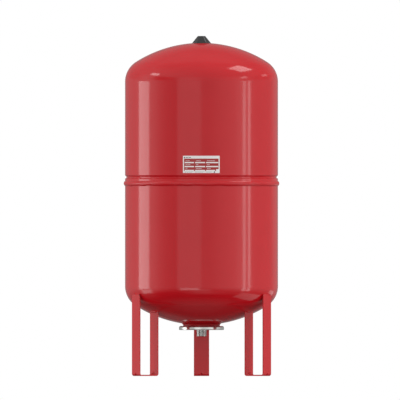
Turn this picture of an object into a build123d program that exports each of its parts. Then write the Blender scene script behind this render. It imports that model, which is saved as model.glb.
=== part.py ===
from build123d import *
import os
from math import asin, cos, degrees, radians, sin, sqrt

# Upright expansion vessel of the 150-litre class with a replaceable bladder, on three legs.
# Millimetres. The origin is on the floor under the vessel's axis, +Z is up, the label faces -Y.

# ---------------------------------------------------------------- driving dimensions
# shells: torispherical heads to DIN 28013, with crown 0.8 D and knuckle 0.154 D
shell_diameter = 500.0
wall = 2.0
bottom_tangent_z = 294.0
top_tangent_z = 962.0

# girth seam: one-sided butt weld on a backing ring, with a rolled groove above it
seam_z = 629.5
root_gap = 1.5
bead_width = 18.0
bead_height = 4.5
groove_z = 650.2
groove_depth = 4.8
groove_above = 6.8
groove_below = 9.7
backing_width = 26.0
backing_above = 9.5

# legs: flat bar bent into a U, open side up
leg_azimuths = {"leg_rear": 90, "leg_front_left": 210, "leg_front_right": 330}
bar_width = 50.0
bar_thickness = 4.0
leg_outer_radius = 248.5
leg_inner_radius = 176.5
leg_top_z = 266.0
bend_radius = 8.0
top_corner_radius = 6.0
dart_height = 11.0
anchor_hole_diameter = 13.0
leg_weld_radius = 3.5

# neck ring, counter flange and threaded stub
neck_diameter = 120.0
neck_height = 28.0
neck_bore = 74.0
collar_diameter = 90.0
collar_thickness = 4.0
neck_weld_leg = 3.0
flange_diameter = 147.0
flange_top_z = 163.5
flange_height = 13.1
flange_thickness = 3.0
flange_edge_radius = 3.5
stub_diameter = 33.25
stub_bore = 27.0
stub_bottom_z = 129.5
stub_chamfer = 1.0
stub_thread_length = 22.0
stub_relief_diameter = 31.4
stub_weld_leg = 3.5

# flange bolts: M8 x 25 with plain washers
bolt_count = 6
bolt_circle = 104.0
bolt_start_angle = 30
bolt_diameter = 8.0
bolt_length = 25.0
bolt_head_across_flats = 13.0
bolt_head_height = 5.3
tapped_depth = 21.0
clearance_hole = 9.0
washer_diameter = 16.0
washer_bore = 8.4
washer_thickness = 1.6

# bladder, part filled
bladder_thickness = 2.5
bladder_radius = 150.0
bladder_neck_radius = 36.5
bladder_neck_bend = 3.0
bladder_base_z = 193.0
bladder_wall_height = 200.0

# valve boss and charging valve
boss_diameter = 24.0
boss_above_dome = 5.0
boss_height = 13.0
boss_recess_diameter = 18.0
boss_recess_depth = 3.5
boss_weld_leg = 1.7
spigot_diameter = 9.72
spigot_length = 8.5
seal_washer_thickness = 1.0
hex_across_flats = 14.0
valve_thread_diameter = 7.7
valve_thread_height = 8.0
core_bore = 5.2
core_bore_depth = 17.0
air_passage = 3.6

# valve core
core_sink = 0.8
core_length = 11.0
core_end_wall = 1.2
spring_chamber = 3.6
pin_diameter = 1.2
pin_guide = 1.5
pin_sink = 0.5
pin_collar_diameter = 3.2
pin_collar_thickness = 0.7
pin_collar_gap = 0.3
poppet_diameter = 4.0
poppet_thickness = 1.2
core_seal_diameter = 3.8
core_seal_thickness = 0.7
core_seal_gap = 0.1
spring_wire = 0.4
spring_turns = 6

# dust cap on the charging valve
dust_cap_diameter = 10.4
dust_cap_bore = 7.8
dust_cap_top_wall = 1.2
dust_cap_engaged = 5.0
dust_cap_seal_diameter = 7.6
dust_cap_seal_thickness = 0.85
dust_cap_seal_gap = 0.1
dust_cap_seal_play = 0.05
dust_cap_edge_radius = 0.8

# protective cap: hollow six-sided frustum with a collar that grips the boss
cap_base_corner_radius = 32.4
cap_top_corner_radius = 12.9
cap_base_z = 1087.6
cap_top_z = 1111.6
cap_wall = 1.6
cap_dome_gap = 0.3
cap_edge_radius = 1.2
cap_collar_bore = 24.1
cap_collar_wall = 1.6
cap_collar_bottom_z = 1091.2
cap_collar_top_z = 1107.5

# label, wrapped round the cylinder
label_width = 123.0
label_height = 60.0
label_centre_z = 690.8
label_thickness = 0.3

# ---------------------------------------------------------------- derived dimensions
shell_radius = shell_diameter / 2
crown_radius = 0.8 * shell_diameter
knuckle_radius = 0.154 * shell_diameter
knuckle_centre_radius = shell_radius - knuckle_radius
crown_offset = sqrt((crown_radius - knuckle_radius) ** 2 - knuckle_centre_radius**2)
crown_angle = degrees(asin(knuckle_centre_radius / (crown_radius - knuckle_radius)))
top_crown_z = top_tangent_z - crown_offset
bottom_crown_z = bottom_tangent_z + crown_offset
apex_z = top_crown_z + crown_radius

plate_bottom_z = flange_top_z - flange_thickness
boss_top_z = apex_z + boss_above_dome
boss_bottom_z = boss_top_z - boss_height
recess_z = boss_top_z - boss_recess_depth
hex_bottom_z = recess_z + seal_washer_thickness
stem_top_z = boss_top_z + valve_thread_height
core_top_z = stem_top_z - core_sink
core_bottom_z = core_top_z - core_length
spring_bottom_z = core_bottom_z + core_end_wall
pin_collar_top_z = core_top_z - core_end_wall - pin_collar_gap
spring_top_z = pin_collar_top_z - pin_collar_thickness
core_seal_top_z = core_bottom_z - core_seal_gap
poppet_top_z = core_seal_top_z - core_seal_thickness
dust_seal_bottom_z = stem_top_z + dust_cap_seal_gap
dust_cap_ceiling_z = dust_seal_bottom_z + dust_cap_seal_thickness + dust_cap_seal_play
dust_cap_bottom_z = stem_top_z - dust_cap_engaged

os.makedirs("parts", exist_ok=True)


def write(builder, name):
    """Label a finished piece and write it as one STEP file."""
    builder.part.label = name
    export_step(builder.part, f"parts/{name}.step")


def on_arc(centre, radius, angle):
    """Point of a half section at an angle from the axis, measured about a centre on that section."""
    return (centre[0] + radius * sin(radians(angle)), centre[1] + radius * cos(radians(angle)))


def draw_head(tangent_z, crown_z):
    """Torispherical outline of a head, from the axis out to the cylinder."""
    top = crown_z < tangent_z
    angles = (0, crown_angle, 90) if top else (180, 180 - crown_angle, 90)
    for centre, radius, first, last in (
        ((0, crown_z), crown_radius, angles[0], angles[1]),
        ((knuckle_centre_radius, tangent_z), knuckle_radius, angles[1], angles[2]),
    ):
        ThreePointArc(*(on_arc(centre, radius, a) for a in (first, (first + last) / 2, last)))


def draw_box(low_r, high_r, low_z, high_z):
    """Rectangle of a half section, between two radii and two heights."""
    with Locations(((low_r + high_r) / 2, (low_z + high_z) / 2)):
        Rectangle(high_r - low_r, high_z - low_z)


def draw_fillet_weld(radius, corner_z, leg, way):
    """Triangular weld outside a round part; way is 1 where the plate is above, -1 where it is below."""
    Polygon((radius, corner_z), (radius + leg, corner_z), (radius, corner_z - way * leg), align=None)


# ---------------------------------------------------------------- shells
upper_edge_z = seam_z + root_gap / 2
lower_edge_z = seam_z - root_gap / 2
groove_points = (
    (shell_radius, top_tangent_z),
    (shell_radius, groove_z + groove_above),
    (shell_radius - groove_depth, groove_z),
    (shell_radius, groove_z - groove_below),
    (shell_radius, upper_edge_z),
)
groove_bends = 4.0

with BuildPart() as upper_shell:
    with BuildSketch(Plane.XZ):
        with BuildLine():
            draw_head(top_tangent_z, top_crown_z)
            FilletPolyline(*groove_points, radius=groove_bends)
            offset(amount=wall, side=Side.RIGHT)
        make_face()
    revolve(axis=Axis.Z)
    with BuildSketch(Plane.XY.offset(boss_bottom_z)):
        Circle(boss_diameter / 2)
    extrude(amount=boss_height, mode=Mode.SUBTRACT)

with BuildPart() as lower_shell:
    with BuildSketch(Plane.XZ):
        with BuildLine():
            draw_head(bottom_tangent_z, bottom_crown_z)
            Line((shell_radius, bottom_tangent_z), (shell_radius, lower_edge_z))
            offset(amount=wall, side=Side.LEFT)
        make_face()
    revolve(axis=Axis.Z)
    with BuildSketch(Plane.XY.offset(flange_top_z)):
        Circle(neck_diameter / 2)
    extrude(amount=neck_height, mode=Mode.SUBTRACT)

# the space inside the bottom head's outer surface, which trims the legs and their welds
with BuildPart() as bottom_envelope:
    with BuildSketch(Plane.XZ):
        with BuildLine():
            draw_head(bottom_tangent_z, bottom_crown_z)
            centre_top = (0, bottom_tangent_z)
            Polyline((shell_radius, bottom_tangent_z), centre_top, (0, bottom_crown_z - crown_radius))
        make_face()
    revolve(axis=Axis.Z)

with BuildPart() as seam_backing_ring:
    with BuildSketch(Plane.XZ):
        backing_top = seam_z + backing_above
        draw_box(shell_radius - 2 * wall, shell_radius - wall, backing_top - backing_width, backing_top)
    revolve(axis=Axis.Z)

with BuildPart() as seam_weld:
    with BuildSketch(Plane.XZ):
        draw_box(shell_radius - wall, shell_radius, lower_edge_z, upper_edge_z)
        with BuildLine():
            ends = [(shell_radius, seam_z - bead_width / 2), (shell_radius, seam_z + bead_width / 2)]
            ThreePointArc(ends[0], (shell_radius + bead_height, seam_z), ends[1])
            Line(ends[1], ends[0])
        make_face()
    revolve(axis=Axis.Z)

# ---------------------------------------------------------------- neck ring, flange and stub
with BuildPart() as neck_ring:
    with BuildSketch(Plane.XY.offset(flange_top_z)):
        Circle(neck_diameter / 2)
        Circle(neck_bore / 2, mode=Mode.SUBTRACT)
    extrude(amount=neck_height)
    with BuildSketch(Plane.XY.offset(flange_top_z)):
        Circle(collar_diameter / 2)
    extrude(amount=collar_thickness, mode=Mode.SUBTRACT)
    with BuildSketch(Plane.XY.offset(flange_top_z)):
        with PolarLocations(bolt_circle / 2, bolt_count, start_angle=bolt_start_angle):
            Circle(bolt_diameter / 2)
    extrude(amount=tapped_depth, mode=Mode.SUBTRACT)

neck_joint_z = bottom_crown_z - sqrt(crown_radius**2 - (neck_diameter / 2) ** 2)
with BuildPart() as neck_weld:
    with BuildSketch(Plane.XZ):
        draw_fillet_weld(neck_diameter / 2, neck_joint_z, neck_weld_leg, 1)
    revolve(axis=Axis.Z)

with BuildPart() as flange:
    with BuildSketch(Plane.XY.offset(flange_top_z - flange_height)):
        Circle(flange_diameter / 2)
    extrude(amount=flange_height)
    fillet(flange.edges().group_by(Axis.Z)[-1], radius=flange_edge_radius)
    with BuildSketch(Plane.XY.offset(flange_top_z - flange_height)):
        Circle(flange_diameter / 2 - flange_thickness)
    extrude(amount=flange_height - flange_thickness, mode=Mode.SUBTRACT)
    with BuildSketch(Plane.XY.offset(plate_bottom_z)):
        Circle(stub_relief_diameter / 2)
        with PolarLocations(bolt_circle / 2, bolt_count, start_angle=bolt_start_angle):
            Circle(clearance_hole / 2)
    extrude(amount=flange_thickness, mode=Mode.SUBTRACT)

with BuildPart() as connection_stub:
    with BuildSketch(Plane.XY.offset(stub_bottom_z)):
        Circle(stub_diameter / 2)
    extrude(amount=stub_thread_length)
    chamfer(connection_stub.edges().group_by(Axis.Z)[0], length=stub_chamfer)
    with BuildSketch(Plane.XY.offset(stub_bottom_z + stub_thread_length)):
        Circle(stub_relief_diameter / 2)
    extrude(amount=flange_top_z - stub_bottom_z - stub_thread_length)
    with BuildSketch(Plane.XY.offset(stub_bottom_z)):
        Circle(stub_bore / 2)
    extrude(amount=flange_top_z - stub_bottom_z, mode=Mode.SUBTRACT)

with BuildPart() as stub_weld:
    with BuildSketch(Plane.XZ):
        draw_fillet_weld(stub_relief_diameter / 2, plate_bottom_z, stub_weld_leg, 1)
    revolve(axis=Axis.Z)

bolt_seat_z = plate_bottom_z - washer_thickness
with BuildPart() as flange_bolts:
    with BuildSketch(Plane.XY.offset(bolt_seat_z)):
        with PolarLocations(bolt_circle / 2, bolt_count, start_angle=bolt_start_angle):
            RegularPolygon(bolt_head_across_flats / 2, 6, major_radius=False)
    extrude(amount=-bolt_head_height)
    with BuildSketch(Plane.XY.offset(bolt_seat_z)):
        with PolarLocations(bolt_circle / 2, bolt_count, start_angle=bolt_start_angle):
            Circle(bolt_diameter / 2)
    extrude(amount=bolt_length)

with BuildPart() as flange_washers:
    with BuildSketch(Plane.XY.offset(bolt_seat_z)):
        with PolarLocations(bolt_circle / 2, bolt_count, start_angle=bolt_start_angle):
            Circle(washer_diameter / 2)
            Circle(washer_bore / 2, mode=Mode.SUBTRACT)
    extrude(amount=washer_thickness)

# ---------------------------------------------------------------- legs
# One leg is made along +X, then turned to each azimuth.
# A dart is a V pressed into each bend, with its valley on the 45 degree line across the corner.
dart_depth = dart_height / sqrt(2)
rib_offset = bar_thickness * sqrt(2)


def draw_dart(depth):
    """Right-angled V of a dart in a plane across its valley, with its point at the origin."""
    Polygon((0, 0), (depth, depth), (depth, -depth), align=None)


def dart_plane(corner_r, outward, inset):
    """Plane across a dart's valley at a lower corner of the bar; local X points out of the corner."""
    slope = Vector(outward, 0, -1).normalized()
    valley = Vector(corner_r, 0, 0) - slope * (dart_depth + inset)
    return Plane(valley, x_dir=slope, z_dir=Vector(outward, 0, 1).normalized())


def draw_leg_outline():
    """Outer outline of the bent bar, from the inner limb's end to the outer limb's."""
    FilletPolyline(
        (leg_inner_radius, leg_top_z),
        (leg_inner_radius, 0),
        (leg_outer_radius, 0),
        (leg_outer_radius, leg_top_z),
        radius=bend_radius,
    )


corners = ((leg_outer_radius, 1), (leg_inner_radius, -1))
dart_reach = 2 * dart_height

with BuildPart() as dart_ribs:
    for corner_r, outward in corners:
        with BuildSketch(dart_plane(corner_r, outward, rib_offset)):
            draw_dart(dart_depth + rib_offset)
        extrude(amount=dart_reach, both=True)
    with BuildSketch(Plane.XZ):
        with BuildLine():
            draw_leg_outline()
            Line((leg_outer_radius, leg_top_z), (leg_inner_radius, leg_top_z))
        make_face()
    extrude(amount=bar_width / 2, both=True, mode=Mode.INTERSECT)

with BuildPart() as leg:
    with BuildSketch(Plane.XZ):
        with BuildLine():
            draw_leg_outline()
            offset(amount=bar_thickness, side=Side.LEFT)
        make_face()
    extrude(amount=bar_width / 2, both=True)
    fillet(leg.edges().filter_by(Axis.X).group_by(Axis.Z)[-1], radius=top_corner_radius)
    add(dart_ribs.part)
    for corner_r, outward in corners:
        with BuildSketch(dart_plane(corner_r, outward, 0)):
            draw_dart(dart_depth)
        extrude(amount=dart_reach, both=True, mode=Mode.SUBTRACT)
    with BuildSketch(Plane.XY):
        with Locations(((leg_inner_radius + leg_outer_radius) / 2, 0)):
            Circle(anchor_hole_diameter / 2)
    extrude(amount=bar_thickness, mode=Mode.SUBTRACT)
    add(bottom_envelope.part, mode=Mode.SUBTRACT)

# beads along the top of the outer limb and along both faces of the inner limb
inner_limb_outer_face = leg_inner_radius + bar_thickness
weld_centres = [(leg_outer_radius - leg_weld_radius, leg_top_z)] + [
    (r, bottom_crown_z - sqrt(crown_radius**2 - r**2)) for r in (leg_inner_radius, inner_limb_outer_face)
]
weld_length = bar_width - 2 * top_corner_radius

with BuildPart() as leg_weld:
    with BuildSketch(Plane.XZ):
        with Locations(*weld_centres):
            Circle(leg_weld_radius)
    extrude(amount=weld_length / 2, both=True)
    add(bottom_envelope.part, mode=Mode.SUBTRACT)
    add(leg.part, mode=Mode.SUBTRACT)

with BuildPart() as leg_welds:
    for azimuth in leg_azimuths.values():
        add(leg_weld.part, rotation=(0, 0, azimuth))

# ---------------------------------------------------------------- bladder
bend_centre_r = bladder_neck_radius + bladder_neck_bend
base_radius = bladder_radius - bend_centre_r
wall_bottom_z = bladder_base_z + base_radius
wall_top_z = wall_bottom_z + bladder_wall_height

with BuildPart() as bladder_neck:
    with BuildSketch(Plane.XZ):
        with BuildLine():
            Line(
                (bladder_neck_radius, flange_top_z),
                (bladder_neck_radius, bladder_base_z - bladder_neck_bend),
            )
            CenterArc((bend_centre_r, bladder_base_z - bladder_neck_bend), bladder_neck_bend, 180, -90)
            CenterArc((bend_centre_r, wall_bottom_z), base_radius, -90, 90)
            offset(amount=bladder_thickness, side=Side.LEFT)
        make_face()
        draw_box(bladder_neck_radius, collar_diameter / 2, flange_top_z, flange_top_z + collar_thickness)
    revolve(axis=Axis.Z)

with BuildPart() as bladder_wall:
    with BuildSketch(Plane.XZ):
        draw_box(bladder_radius - bladder_thickness, bladder_radius, wall_bottom_z, wall_top_z)
    revolve(axis=Axis.Z)

with BuildPart() as bladder_crown:
    with BuildSketch(Plane.XZ):
        with BuildLine():
            CenterArc((bend_centre_r, wall_top_z), base_radius, 0, 90)
            Line((bend_centre_r, wall_top_z + base_radius), (0, wall_top_z + base_radius))
            offset(amount=bladder_thickness, side=Side.LEFT)
        make_face()
    revolve(axis=Axis.Z)

# ---------------------------------------------------------------- valve boss and charging valve
with BuildPart() as valve_boss:
    with BuildSketch(Plane.XZ):
        draw_box(spigot_diameter / 2, boss_diameter / 2, boss_bottom_z, boss_top_z)
        draw_box(0, boss_recess_diameter / 2, recess_z, boss_top_z)
        with Locations((boss_recess_diameter / 4, recess_z + boss_recess_depth / 2)):
            Rectangle(boss_recess_diameter / 2, boss_recess_depth, mode=Mode.SUBTRACT)
    revolve(axis=Axis.Z)

boss_joint_z = top_crown_z + sqrt(crown_radius**2 - (boss_diameter / 2) ** 2)
with BuildPart() as boss_weld:
    with BuildSketch(Plane.XZ):
        draw_fillet_weld(boss_diameter / 2, boss_joint_z, boss_weld_leg, -1)
    revolve(axis=Axis.Z)

with BuildPart() as valve_seal:
    with BuildSketch(Plane.XY.offset(recess_z)):
        Circle(hex_across_flats / 2)
        Circle(spigot_diameter / 2, mode=Mode.SUBTRACT)
    extrude(amount=seal_washer_thickness)

with BuildPart() as valve_stem:
    with BuildSketch(Plane.XY.offset(hex_bottom_z)):
        RegularPolygon(hex_across_flats / 2, 6, major_radius=False)
    extrude(amount=boss_top_z - hex_bottom_z)
    with BuildSketch(Plane.XY.offset(hex_bottom_z)):
        Circle(spigot_diameter / 2)
    extrude(amount=-(spigot_length + seal_washer_thickness))
    with BuildSketch(Plane.XY.offset(boss_top_z)):
        Circle(valve_thread_diameter / 2)
    extrude(amount=valve_thread_height)
    with BuildSketch(Plane.XY.offset(stem_top_z)):
        Circle(core_bore / 2)
    extrude(amount=-core_bore_depth, mode=Mode.SUBTRACT)
    with BuildSketch(Plane.XY.offset(stem_top_z)):
        Circle(air_passage / 2)
    extrude(amount=boss_bottom_z - stem_top_z, mode=Mode.SUBTRACT)

with BuildPart() as core_barrel:
    with BuildSketch(Plane.XY.offset(core_bottom_z)):
        Circle(core_bore / 2)
        Circle(pin_guide / 2, mode=Mode.SUBTRACT)
    extrude(amount=core_length)
    with BuildSketch(Plane.XY.offset(spring_bottom_z)):
        Circle(spring_chamber / 2)
    extrude(amount=core_length - 2 * core_end_wall, mode=Mode.SUBTRACT)

spring_radius = (spring_chamber + pin_diameter) / 4
spring_rise = spring_top_z - spring_bottom_z - spring_wire
with BuildPart() as core_spring:
    with BuildLine() as coil:
        Helix(
            pitch=spring_rise / spring_turns,
            height=spring_rise,
            radius=spring_radius,
            center=(0, 0, spring_bottom_z + spring_wire / 2),
        )
    with BuildSketch(Plane(coil.line @ 0, z_dir=coil.line % 0)):
        Circle(spring_wire / 2)
    sweep(path=coil.line, is_frenet=True)

with BuildPart() as valve_pin:
    with BuildSketch(Plane.XZ):
        draw_box(0, pin_diameter / 2, poppet_top_z, stem_top_z - pin_sink)
        draw_box(0, pin_collar_diameter / 2, spring_top_z, pin_collar_top_z)
        draw_box(0, poppet_diameter / 2, poppet_top_z - poppet_thickness, poppet_top_z)
    revolve(axis=Axis.Z)

with BuildPart() as core_seal:
    with BuildSketch(Plane.XY.offset(poppet_top_z)):
        Circle(core_seal_diameter / 2)
        Circle(pin_diameter / 2, mode=Mode.SUBTRACT)
    extrude(amount=core_seal_thickness)

# ---------------------------------------------------------------- dust cap and protective cap
with BuildPart() as dust_cap:
    with BuildSketch(Plane.XY.offset(dust_cap_bottom_z)):
        Circle(dust_cap_diameter / 2)
    extrude(amount=dust_cap_ceiling_z + dust_cap_top_wall - dust_cap_bottom_z)
    fillet(dust_cap.edges().group_by(Axis.Z)[-1], radius=dust_cap_edge_radius)
    with BuildSketch(Plane.XY.offset(dust_cap_bottom_z)):
        Circle(dust_cap_bore / 2)
    extrude(amount=dust_cap_ceiling_z - dust_cap_bottom_z, mode=Mode.SUBTRACT)

with BuildPart() as dust_cap_seal:
    with BuildSketch(Plane.XY.offset(dust_seal_bottom_z)):
        Circle(dust_cap_seal_diameter / 2)
    extrude(amount=dust_cap_seal_thickness)

# the cap's flats slope, so its wall is thicker across than along a level line
cap_height = cap_top_z - cap_base_z
cap_slope = (cap_base_corner_radius - cap_top_corner_radius) / cap_height
flat_slope = cap_slope * cos(radians(30))
level_wall = cap_wall * sqrt(1 + flat_slope**2) / cos(radians(30))
cap_ceiling_z = cap_top_z - cap_wall

with BuildPart() as protective_cap:
    for height, radius in ((cap_base_z, cap_base_corner_radius), (cap_top_z, cap_top_corner_radius)):
        with BuildSketch(Plane.XY.offset(height)):
            RegularPolygon(radius, 6)
    loft()
    edge_groups = protective_cap.edges().group_by(Axis.Z)
    fillet(edge_groups[1] + edge_groups[-1], radius=cap_edge_radius)
    for height, radius in (
        (cap_base_z, cap_base_corner_radius - level_wall),
        (cap_ceiling_z, cap_top_corner_radius + cap_slope * cap_wall - level_wall),
    ):
        with BuildSketch(Plane.XY.offset(height)):
            RegularPolygon(radius, 6)
    loft(mode=Mode.SUBTRACT)
    with BuildSketch(Plane.XY.offset(cap_collar_bottom_z)):
        Circle(cap_collar_bore / 2 + cap_collar_wall)
        Circle(cap_collar_bore / 2, mode=Mode.SUBTRACT)
    extrude(amount=cap_collar_top_z - cap_collar_bottom_z)
    with Locations((0, 0, top_crown_z)):
        Sphere(crown_radius + cap_dome_gap, mode=Mode.SUBTRACT)

# ---------------------------------------------------------------- label
label_angle = degrees(label_width / shell_radius)
label_start = radians(-90 - label_angle / 2)
label_plane = Plane(
    (0, 0, 0),
    x_dir=(cos(label_start), sin(label_start), 0),
    z_dir=(sin(label_start), -cos(label_start), 0),
)
with BuildPart() as nameplate:
    with BuildSketch(label_plane):
        low_z = label_centre_z - label_height / 2
        draw_box(shell_radius, shell_radius + label_thickness, low_z, low_z + label_height)
    revolve(axis=Axis.Z, revolution_arc=label_angle)

# ---------------------------------------------------------------- output
for name, azimuth in leg_azimuths.items():
    with BuildPart() as placed_leg:
        add(leg.part, rotation=(0, 0, azimuth))
    write(placed_leg, name)

for name, builder in {
    "upper_shell": upper_shell,
    "lower_shell": lower_shell,
    "seam_backing_ring": seam_backing_ring,
    "seam_weld": seam_weld,
    "neck_ring": neck_ring,
    "neck_weld": neck_weld,
    "leg_welds": leg_welds,
    "flange": flange,
    "connection_stub": connection_stub,
    "stub_weld": stub_weld,
    "flange_bolts": flange_bolts,
    "flange_washers": flange_washers,
    "bladder_neck": bladder_neck,
    "bladder_wall": bladder_wall,
    "bladder_crown": bladder_crown,
    "valve_boss": valve_boss,
    "boss_weld": boss_weld,
    "valve_stem": valve_stem,
    "valve_seal": valve_seal,
    "core_barrel": core_barrel,
    "core_spring": core_spring,
    "valve_pin": valve_pin,
    "core_seal": core_seal,
    "dust_cap": dust_cap,
    "dust_cap_seal": dust_cap_seal,
    "protective_cap": protective_cap,
    "nameplate": nameplate,
}.items():
    write(builder, name)
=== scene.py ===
from math import asin, atan2, cos, hypot, pi, radians, sin, sqrt, tan

import bmesh
import bpy
import numpy as np
from mathutils import Matrix, Vector, noise


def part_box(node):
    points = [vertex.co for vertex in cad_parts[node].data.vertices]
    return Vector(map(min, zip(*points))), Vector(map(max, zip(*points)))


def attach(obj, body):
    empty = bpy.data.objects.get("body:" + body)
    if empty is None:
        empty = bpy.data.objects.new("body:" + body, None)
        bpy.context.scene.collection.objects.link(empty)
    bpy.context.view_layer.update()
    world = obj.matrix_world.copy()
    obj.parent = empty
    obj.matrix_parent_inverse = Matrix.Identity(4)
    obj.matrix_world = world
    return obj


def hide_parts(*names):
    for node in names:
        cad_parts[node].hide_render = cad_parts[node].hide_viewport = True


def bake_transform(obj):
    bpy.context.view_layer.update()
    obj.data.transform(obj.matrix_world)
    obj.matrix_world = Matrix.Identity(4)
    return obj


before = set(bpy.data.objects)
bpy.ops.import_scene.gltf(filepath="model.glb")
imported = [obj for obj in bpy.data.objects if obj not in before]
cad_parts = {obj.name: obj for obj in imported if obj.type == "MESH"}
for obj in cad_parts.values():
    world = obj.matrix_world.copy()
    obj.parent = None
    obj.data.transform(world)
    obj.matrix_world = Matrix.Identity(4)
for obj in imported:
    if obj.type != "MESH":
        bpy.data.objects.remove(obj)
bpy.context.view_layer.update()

# Upright expansion vessel on three legs. Metres, Z up, the label faces -Y.
MM = 0.001
INCH = 25.4 * MM
TURN = 2 * pi

# ---- sizes, from the frame where it holds them
seam_low, seam_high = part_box("seam_weld")
top_shell_low, top_shell_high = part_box("upper_shell")
bottom_shell_low, bottom_shell_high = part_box("lower_shell")
boss_low, boss_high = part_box("valve_boss")
neck_low, neck_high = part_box("neck_ring")
flange_low, flange_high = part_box("flange")
stub_low, stub_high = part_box("connection_stub")
washer_low, washer_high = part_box("flange_washers")
bolt_low, bolt_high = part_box("flange_bolts")
rear_leg_low, rear_leg_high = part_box("leg_rear")
stem_low, stem_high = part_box("valve_stem")
spring_low, spring_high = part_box("core_spring")
pin_low, pin_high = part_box("valve_pin")
dust_low, dust_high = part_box("dust_cap")
hood_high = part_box("protective_cap")[1]
bladder_wall_low, bladder_wall_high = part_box("bladder_wall")
bladder_neck_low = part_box("bladder_neck")[0]
label_low, label_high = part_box("nameplate")

# pressed shells with torispherical heads: crown 0.8 D, knuckle 0.154 D
shell_radius = top_shell_high.x
shell_wall = 2.0 * MM
crown_radius = 0.8 * 2 * shell_radius
knuckle_radius = 0.154 * 2 * shell_radius
knuckle_centre = shell_radius - knuckle_radius
crown_angle = asin(knuckle_centre / (crown_radius - knuckle_radius))
crown_offset = (crown_radius - knuckle_radius) * cos(crown_angle)
boss_radius = boss_high.x
neck_radius = neck_high.x
top_crown_z = top_shell_high.z - sqrt(crown_radius**2 - boss_radius**2)
bottom_crown_z = bottom_shell_low.z + sqrt(crown_radius**2 - neck_radius**2)
top_tangent_z = top_crown_z + crown_offset
bottom_tangent_z = bottom_crown_z - crown_offset

seam_z = (seam_low.z + seam_high.z) / 2

# how far welds and the inner ends of the legs reach below a face
buried = 0.5 * MM


# ---- outlines of half sections, as (r, z) points
def rounded(corners, steps=4):
    """Outline through (r, z, rounding radius) corners, with an arc at each rounded one."""
    outline = []
    for i, (r, z, radius) in enumerate(corners):
        point = Vector((r, z))
        if not radius:
            outline.append(point)
            continue
        before = (Vector(corners[i - 1][:2]) - point).normalized()
        after = (Vector(corners[(i + 1) % len(corners)][:2]) - point).normalized()
        half_corner = before.angle(after) / 2
        centre = point + (before + after).normalized() * radius / sin(half_corner)
        reach = radius / tan(half_corner)
        first, last = point + before * reach - centre, point + after * reach - centre
        outline += [centre + radius * first.slerp(last, step / steps) for step in range(steps + 1)]
    return [tuple(point) for point in outline]


def head_outline(crown_z, tangent_z, inset, from_r, steps=48):
    """Torispherical curve from a radius on the crown to the cylinder, inset from the outer face."""
    up = 1 if tangent_z > crown_z else -1
    crown, knuckle = crown_radius - inset, knuckle_radius - inset
    curve = [
        (crown * sin(angle), crown_z + up * crown * cos(angle))
        for angle in np.linspace(asin(from_r / crown), crown_angle, steps)
    ]
    curve += [
        (knuckle_centre + knuckle * sin(angle), tangent_z + up * knuckle * cos(angle))
        for angle in np.linspace(crown_angle, pi / 2, steps)[1:]
    ]
    return curve


def dome_z(crown_z, r):
    """Height of a crown's outer face at a radius."""
    up = 1 if crown_z > seam_z else -1
    return crown_z + up * sqrt(crown_radius**2 - r**2)


# ---- meshes
def new_object(name, data):
    """Object in the scene for a mesh, a light or a camera."""
    made = bpy.data.objects.new(name, data)
    bpy.context.scene.collection.objects.link(made)
    return made


def finish_mesh(name, mesh, sharp_angle):
    """Object for a mesh, smooth except across edges that turn by more than sharp_angle degrees."""
    work = bmesh.new()
    work.from_mesh(mesh)
    bmesh.ops.remove_doubles(work, verts=work.verts, dist=1e-7)
    bmesh.ops.recalc_face_normals(work, faces=work.faces)
    work.to_mesh(mesh)
    work.free()
    mesh.shade_smooth()
    mesh.set_sharp_from_angle(angle=radians(sharp_angle))
    return new_object(name, mesh)


def skin(name, rows, wrap=False, sharp_angle=35):
    """Solid over rows of points, each row a closed loop; its ends are joined or capped."""
    rows = np.asarray(rows, float)
    count, around = rows.shape[:2]
    index = np.arange(count * around).reshape(count, around)
    low = index if wrap else index[:-1]
    high = np.roll(index, -1, 0) if wrap else index[1:]
    quads = np.stack([low, np.roll(low, -1, 1), np.roll(high, -1, 1), high], -1)
    faces = quads.reshape(-1, 4).tolist()
    if not wrap:
        faces += [index[0].tolist(), index[-1].tolist()]
    mesh = bpy.data.meshes.new(name)
    mesh.from_pydata(rows.reshape(-1, 3).tolist(), [], faces)
    return finish_mesh(name, mesh, sharp_angle)


def lathe(name, outline, steps, shape=None, sharp_angle=35):
    """Closed (r, z) outline turned about Z, in equal steps or to given angles, with an optional shape."""
    r, z = np.asarray(outline, float).T
    rows = []
    for angle in np.linspace(0, TURN, steps, endpoint=False) if isinstance(steps, int) else steps:
        ring_r, ring_z = (r, z) if shape is None else shape(r, z, angle)
        rows.append(np.stack([ring_r * cos(angle), ring_r * sin(angle), ring_z], -1))
    return skin(name, rows, wrap=True, sharp_angle=sharp_angle)


def repeat_round(piece, count, radius, start, twist=0):
    """Repeats a piece on a circle about Z, each copy turned on its own axis by a further twist."""
    work = bmesh.new()
    for i in range(count):
        already = len(work.verts)
        work.from_mesh(piece.data)
        angle = start + TURN * i / count
        centre = Matrix.Translation((radius * cos(angle), radius * sin(angle), 0))
        added = list(work.verts)[already:]
        bmesh.ops.transform(work, matrix=centre @ Matrix.Rotation(twist * i, 4, "Z"), verts=added)
    work.to_mesh(piece.data)
    work.free()
    return piece


def gather(name, parts, sharp_angle=35):
    """One object from (piece, matrix, material index) parts; the pieces are used up."""
    work = bmesh.new()
    for piece, matrix, material_index in parts:
        verts_before, faces_before = len(work.verts), len(work.faces)
        work.from_mesh(piece.data)
        bmesh.ops.transform(work, matrix=matrix, verts=list(work.verts)[verts_before:])
        for face in list(work.faces)[faces_before:]:
            face.material_index = material_index
    mesh = bpy.data.meshes.new(name)
    work.to_mesh(mesh)
    work.free()
    for piece in {piece for piece, matrix, material_index in parts}:
        bpy.data.objects.remove(piece)
    return finish_mesh(name, mesh, sharp_angle)


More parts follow.
